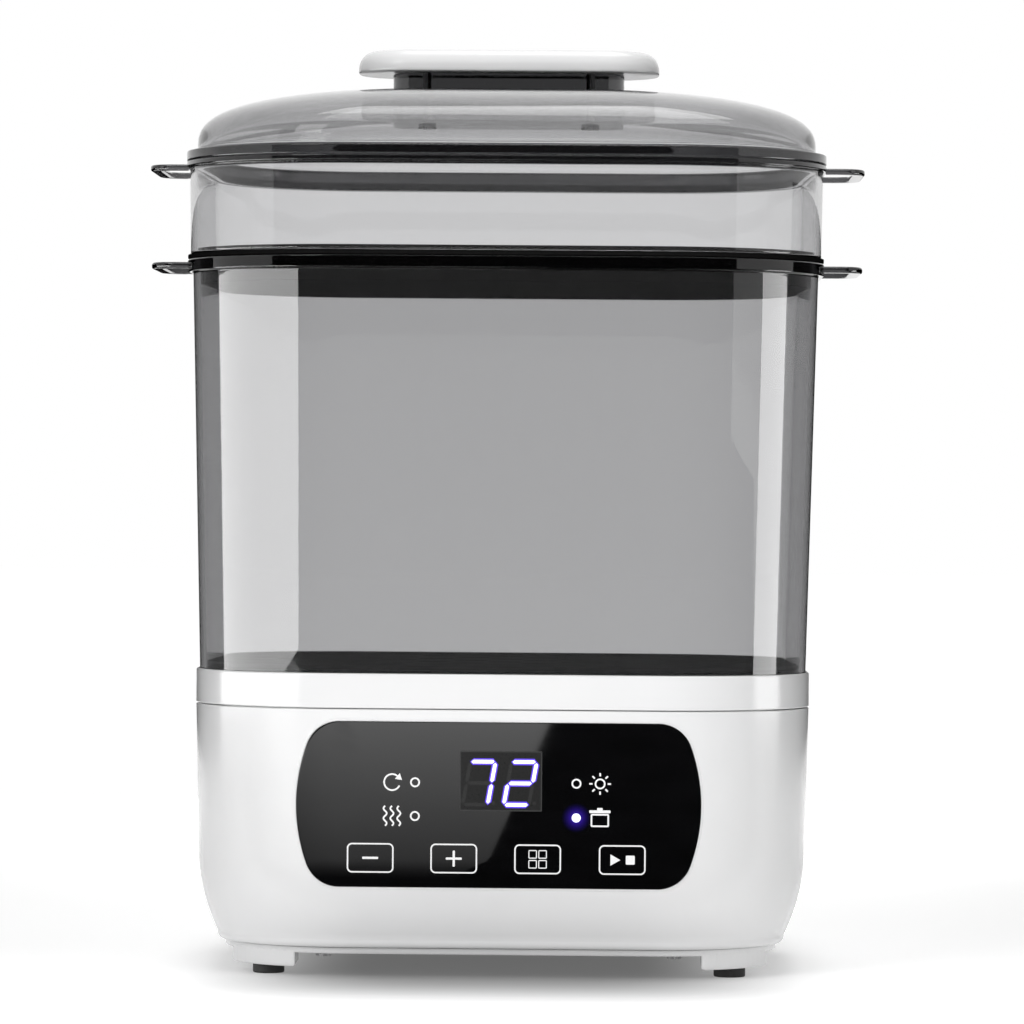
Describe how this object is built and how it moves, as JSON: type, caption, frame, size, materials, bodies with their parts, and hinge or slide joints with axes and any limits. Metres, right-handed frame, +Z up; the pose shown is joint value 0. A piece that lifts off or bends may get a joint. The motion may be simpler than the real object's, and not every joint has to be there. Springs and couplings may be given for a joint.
{
  "type": "bottle sterilizer",
  "caption": "Tall steam sterilizer and dryer for feeding bottles: white base with a glossy touch panel, smoked chamber, perforated trays, looped tiers and a domed lid with a flat handle.",
  "frame": {"origin": "on the ground under the middle of the plan", "axes": "+Z up, front and control panel towards -Y, +X to the right seen from the front"},
  "size_m": [0.313, 0.231, 0.401],
  "materials": {
    "white_plastic": "glossy white moulding",
    "smoked_plastic": "clear smoked grey moulding, polished",
    "black_plastic": "satin black moulding",
    "panel_plastic": "high-gloss black",
    "rubber": "matte black rubber",
    "board_laminate": "green circuit board",
    "bare_steel": "plain steel",
    "coated_steel": "grey non-stick or painted steel",
    "filter_foam": "open filter foam",
    "lamp_lens": "clear lamp body"
  },
  "bodies": {
    "base": {"base_shell": "white_plastic", "control_panel": "panel_plastic", "base_top_cover": "white_plastic", "bottom_cover": "white_plastic", "rubber_foot_rear_right": "rubber", "rubber_foot_rear_left": "rubber", "rubber_foot_front_left": "rubber", "rubber_foot_front_right": "rubber", "base_screw_1": "bare_steel", "base_screw_2": "bare_steel", "base_screw_3": "bare_steel", "base_screw_4": "bare_steel", "heating_plate": "coated_steel", "heating_plate_gasket": "rubber", "heating_plate_screw_1": "bare_steel", "heating_plate_screw_2": "bare_steel", "heating_plate_screw_3": "bare_steel", "heater_element": "bare_steel", "thermostat": "bare_steel", "thermal_fuse": "bare_steel", "fan_housing": "black_plastic", "fan_motor": "coated_steel", "air_duct": "black_plastic", "air_heater": "bare_steel", "air_outlet_cap": "white_plastic", "cord_gland": "rubber", "power_board": "board_laminate", "board_standoff_1": "black_plastic", "board_standoff_2": "black_plastic", "board_standoff_3": "black_plastic", "board_standoff_4": "black_plastic", "power_relay": "black_plastic", "power_transformer": "coated_steel", "filter_capacitor": "coated_steel", "display_module": "panel_plastic", "display_board": "board_laminate", "indicator_lamp_1": "lamp_lens", "indicator_lamp_2": "lamp_lens", "indicator_lamp_3": "lamp_lens", "indicator_lamp_4": "lamp_lens", "touch_spring_1": "bare_steel", "touch_spring_2": "bare_steel", "touch_spring_3": "bare_steel", "touch_spring_4": "bare_steel", "display_board_screw_left": "bare_steel", "display_board_screw_right": "bare_steel"},
    "fan": {"fan_impeller": "black_plastic"},
    "filter": {"filter_cover": "white_plastic", "air_filter": "filter_foam"},
    "rack": {"bottle_rack": "black_plastic"},
    "chamber": {"lower_chamber": "smoked_plastic"},
    "tray": {"middle_tray": "black_plastic"},
    "tier": {"upper_tier": "smoked_plastic"},
    "lid": {"lid_dome": "smoked_plastic", "lid_pedestal": "smoked_plastic", "lid_handle": "white_plastic", "lid_screw_left": "bare_steel", "lid_screw_right": "bare_steel"}
  },
  "joints": [
    {"name": "fan_spin", "type": "hinge", "parent": "base", "child": "fan", "pos_m": [-0.045, 0.08, 0.056], "axis": [0, 1, 0], "continuous": true},
    {"name": "filter_pull", "type": "slide", "parent": "base", "child": "filter", "axis": [0, 1, 0], "range_m": [0, 0.04]},
    {"name": "rack_lift", "type": "slide", "parent": "base", "child": "rack", "axis": [0, 0, 1], "range_m": [0, 0.15]},
    {"name": "chamber_lift", "type": "slide", "parent": "base", "child": "chamber", "axis": [0, 0, 1], "range_m": [0, 0.2]},
    {"name": "tray_lift", "type": "slide", "parent": "chamber", "child": "tray", "axis": [0, 0, 1], "range_m": [0, 0.08]},
    {"name": "tier_lift", "type": "slide", "parent": "tray", "child": "tier", "axis": [0, 0, 1], "range_m": [0, 0.08]},
    {"name": "lid_lift", "type": "slide", "parent": "tier", "child": "lid", "axis": [0, 0, 1], "range_m": [0, 0.12]}
  ]
}
